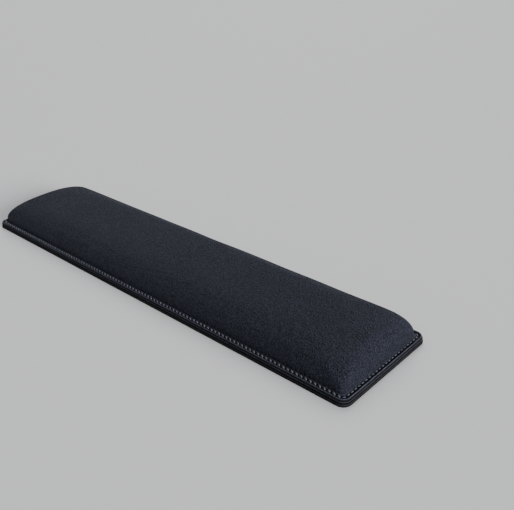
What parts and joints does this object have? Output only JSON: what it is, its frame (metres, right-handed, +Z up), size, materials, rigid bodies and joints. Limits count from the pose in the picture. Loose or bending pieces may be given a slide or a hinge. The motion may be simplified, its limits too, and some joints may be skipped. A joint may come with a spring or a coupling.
{
  "type": "wrist rest",
  "caption": "Long padded wrist rest for a keyboard: domed foam pad under a stitched cloth cover, on a thin anti-slip rubber sheet with rounded corners.",
  "frame": {"origin": "centre of the underside, on the surface that the pad lies on", "axes": "+X along the pad, to the right of the person typing; +Y away from that person, towards the keyboard; +Z up"},
  "size_m": [0.4444, 0.1016, 0.027],
  "materials": {
    "cover_cloth": "black fine-knit polyester cloth, soft sheen",
    "foam": "dark grey open-cell foam",
    "lining": "black close-woven lining",
    "rubber_base": "matt black rubber with a fine moulded grip texture",
    "needle_thread": "twisted polyester sewing thread, slight shine",
    "bobbin_thread": "twisted polyester sewing thread"
  },
  "bodies": {
    "root": {"base_sheet": "rubber_base", "lining_sheet": "lining", "foam_core": "foam", "top_cover": "cover_cloth", "needle_thread": "needle_thread", "bobbin_thread": "bobbin_thread"}
  },
  "joints": []
}
